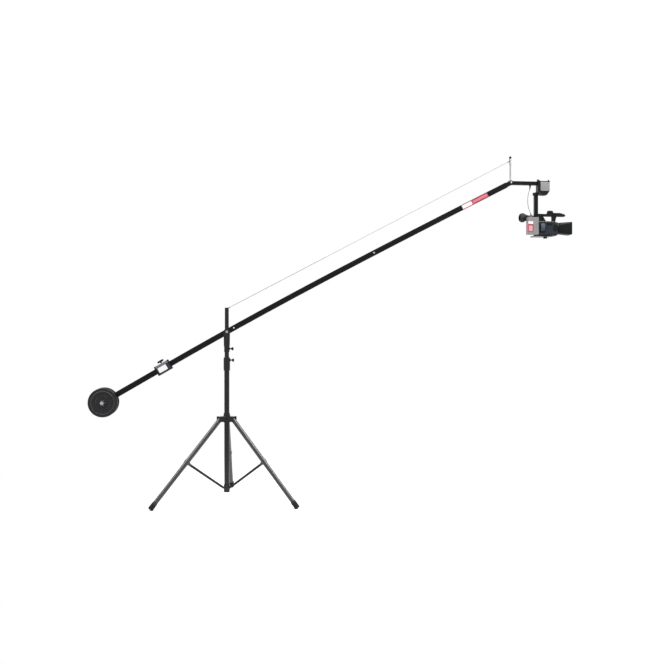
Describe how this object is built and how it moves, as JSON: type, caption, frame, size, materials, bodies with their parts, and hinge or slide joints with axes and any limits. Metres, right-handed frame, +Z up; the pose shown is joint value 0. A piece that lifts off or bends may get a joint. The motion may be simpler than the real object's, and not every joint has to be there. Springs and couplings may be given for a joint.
{
  "type": "camera jib crane",
  "caption": "Counterweighted camera crane: a square boom on a folding tripod, with a self-levelling arm and a pan and tilt head that carries a video camera.",
  "frame": {"origin": "middle of the column's flat underside, 70.7 mm above the floor that the feet stand on", "axes": "+X along the boom towards the camera, as seen from above; +Y to the boom's left; +Z up"},
  "size_m": [3.5707, 0.9288, 2.5331],
  "materials": {
    "stand_paint": "satin black paint on steel",
    "boom_anodised": "black anodised, satin",
    "grey_aluminium": "grey anodised",
    "silver_aluminium": "brushed silver",
    "bright_steel": "bright zinc",
    "iron": "black enamel",
    "black_plastic": "moulded, fine grain",
    "camera_shell": "moulded, dark grey",
    "black_rubber": "matt",
    "strap_fabric": "woven, grey blue",
    "cable_jacket": "smooth grey jacket"
  },
  "bodies": {
    "stand": {"column_tube": "stand_paint", "brace_collar": "stand_paint", "column_clamp": "stand_paint"},
    "collar": {"leg_collar": "stand_paint"},
    "collar_knob": {"collar_lock_knob": "black_plastic"},
    "leg_1_body": {"leg_1": "stand_paint", "leg_1_foot": "black_rubber"},
    "brace_1": {"leg_1_brace": "stand_paint"},
    "leg_2_body": {"leg_2": "stand_paint", "leg_2_foot": "black_rubber"},
    "brace_2": {"leg_2_brace": "stand_paint"},
    "leg_3_body": {"leg_3": "stand_paint", "leg_3_foot": "black_rubber"},
    "brace_3": {"leg_3_brace": "stand_paint"},
    "clamp_screw": {"clamp_knob": "black_plastic"},
    "riser": {"riser_tube": "stand_paint"},
    "yoke_body": {"yoke": "stand_paint", "pivot_bolt": "bright_steel", "rear_mast": "boom_anodised"},
    "yoke_screw": {"yoke_lock_knob": "black_plastic"},
    "boom": {"boom_tube_rear": "boom_anodised", "boom_tube_middle": "boom_anodised", "boom_tube_front": "boom_anodised", "boom_sleeve_rear": "grey_aluminium", "boom_sleeve_front": "grey_aluminium", "boom_bolt_rear": "bright_steel", "boom_bolt_front": "bright_steel", "weight_bar": "bright_steel", "weight_plate_near": "iron", "weight_plate_far": "iron", "controller_clamp": "boom_anodised", "controller_bracket": "black_plastic", "controller_unit": "grey_aluminium", "tip_fork": "boom_anodised", "tip_bolt": "bright_steel"},
    "nut_near": {"weight_nut_near": "bright_steel"},
    "nut_far": {"weight_nut_far": "bright_steel"},
    "tee_screw": {"controller_tee_handle": "black_plastic"},
    "wire": {"level_wire": "bright_steel"},
    "arm": {"level_arm": "boom_anodised", "front_mast": "silver_aluminium", "pan_bracket": "boom_anodised", "pan_top_bar": "boom_anodised", "pan_housing": "silver_aluminium", "pan_motor": "grey_aluminium", "pan_gear_cover": "black_plastic", "head_cable": "cable_jacket"},
    "head": {"drop_post": "boom_anodised", "tilt_housing": "silver_aluminium", "tilt_cover": "black_plastic", "tilt_motor": "grey_aluminium"},
    "cradle": {"tilt_shaft": "bright_steel", "camera_plate": "boom_anodised"},
    "camera": {"camera_body": "camera_shell", "camera_handle": "black_plastic", "lens_barrel": "black_plastic", "lens_hood": "black_plastic", "hand_strap": "strap_fabric"},
    "screw": {"camera_screw": "bright_steel"},
    "finder": {"viewfinder": "black_rubber"}
  },
  "joints": [
    {"name": "collar_slide", "type": "slide", "parent": "stand", "child": "collar", "axis": [0, 0, 1], "range_m": [0, 0.2063]},
    {"name": "leg_1_fold", "type": "hinge", "parent": "collar", "child": "leg_1_body", "pos_m": [0.00293, 0.05592, 0.5213], "axis": [-0.9986, 0.0523, 0], "range_deg": [0, 39.05]},
    {"name": "leg_2_fold", "type": "hinge", "parent": "collar", "child": "leg_2_body", "pos_m": [-0.0499, -0.02542, 0.5213], "axis": [0.454, -0.891, 0], "range_deg": [0, 39.05]},
    {"name": "leg_3_fold", "type": "hinge", "parent": "collar", "child": "leg_3_body", "pos_m": [0.04697, -0.0305, 0.5213], "axis": [0.5446, 0.8387, 0], "range_deg": [0, 39.05]},
    {"name": "brace_1_fold", "type": "hinge", "parent": "leg_1_body", "child": "brace_1", "pos_m": [0.01507, 0.28758, 0.21883], "axis": [0.9986, -0.0523, 0], "range_deg": [0, 92.49]},
    {"name": "brace_2_fold", "type": "hinge", "parent": "leg_2_body", "child": "brace_2", "pos_m": [-0.25659, -0.13074, 0.21883], "axis": [-0.454, 0.891, 0], "range_deg": [0, 92.49]},
    {"name": "brace_3_fold", "type": "hinge", "parent": "leg_3_body", "child": "brace_3", "pos_m": [0.24152, -0.15684, 0.21883], "axis": [-0.5446, -0.8387, 0], "range_deg": [0, 92.49]},
    {"name": "collar_knob_turn", "type": "hinge", "parent": "collar", "child": "collar_knob", "pos_m": [-0.00131, -0.02497, 0.5229], "axis": [-0.0523, -0.9986, 0], "continuous": true},
    {"name": "clamp_knob_turn", "type": "hinge", "parent": "stand", "child": "clamp_screw", "pos_m": [0.025, 0, 0.9493], "axis": [1, 0, 0], "continuous": true},
    {"name": "riser_slide", "type": "slide", "parent": "stand", "child": "riser", "axis": [0, 0, 1], "range_m": [-0.035, 0.4]},
    {"name": "yoke_pan", "type": "hinge", "parent": "riser", "child": "yoke_body", "pos_m": [0, 0, 1.0293], "axis": [0, 0, 1], "continuous": true},
    {"name": "yoke_knob_turn", "type": "hinge", "parent": "yoke_body", "child": "yoke_screw", "pos_m": [0.025, 0, 1.0313], "axis": [1, 0, 0], "continuous": true},
    {"name": "boom_tilt", "type": "hinge", "parent": "yoke_body", "child": "boom", "pos_m": [0, 0, 1.1523], "axis": [0, -1, 0], "range_deg": [-46, 30]},
    {"name": "nut_near_turn", "type": "hinge", "parent": "boom", "child": "nut_near", "pos_m": [-0.86671, -0.065, 0.65338], "axis": [0, -1, 0], "continuous": true},
    {"name": "nut_far_turn", "type": "hinge", "parent": "boom", "child": "nut_far", "pos_m": [-0.86671, 0.065, 0.65338], "axis": [0, 1, 0], "continuous": true},
    {"name": "tee_handle_turn", "type": "hinge", "parent": "boom", "child": "tee_screw", "pos_m": [-0.46223, 0, 0.92888], "axis": [-0.5002, 0, 0.8659], "continuous": true},
    {"name": "arm_level", "type": "hinge", "parent": "boom", "child": "arm", "pos_m": [2.1045, 0, 2.26544], "axis": [0, -1, 0], "range_deg": [-30.1, 46.1]},
    {"name": "wire_swing", "type": "hinge", "parent": "yoke_body", "child": "wire", "pos_m": [0, 0, 1.3183], "axis": [0, -1, 0], "range_deg": [-46.1, 30.1]},
    {"name": "head_pan", "type": "hinge", "parent": "arm", "child": "head", "pos_m": [2.302, 0, 2.18744], "axis": [0, 0, 1], "range_deg": [-170, 170]},
    {"name": "camera_tilt", "type": "hinge", "parent": "head", "child": "cradle", "pos_m": [2.294, 0, 1.92344], "axis": [0, -1, 0], "range_deg": [-90, 40]},
    {"name": "camera_slide", "type": "slide", "parent": "cradle", "child": "camera", "axis": [1, 0, 0], "range_m": [-0.018, 0.018]},
    {"name": "camera_screw_turn", "type": "hinge", "parent": "camera", "child": "screw", "pos_m": [2.406, 0.083, 1.86744], "axis": [0, 0, 1], "continuous": true},
    {"name": "viewfinder_tilt", "type": "hinge", "parent": "camera", "child": "finder", "pos_m": [2.3, 0.083, 2.01894], "axis": [0, 1, 0], "range_deg": [0, 60]}
  ],
  "couplings": [
    {"joint": "leg_1_fold", "follows": "collar_slide", "rad_per_m": 3.2981},
    {"joint": "leg_2_fold", "follows": "collar_slide", "rad_per_m": 3.2981},
    {"joint": "leg_3_fold", "follows": "collar_slide", "rad_per_m": 3.2981},
    {"joint": "brace_1_fold", "follows": "collar_slide", "rad_per_m": 7.8171},
    {"joint": "brace_2_fold", "follows": "collar_slide", "rad_per_m": 7.8171},
    {"joint": "brace_3_fold", "follows": "collar_slide", "rad_per_m": 7.8171},
    {"joint": "arm_level", "follows": "boom_tilt", "ratio": -1},
    {"joint": "wire_swing", "follows": "boom_tilt", "ratio": 1}
  ]
}
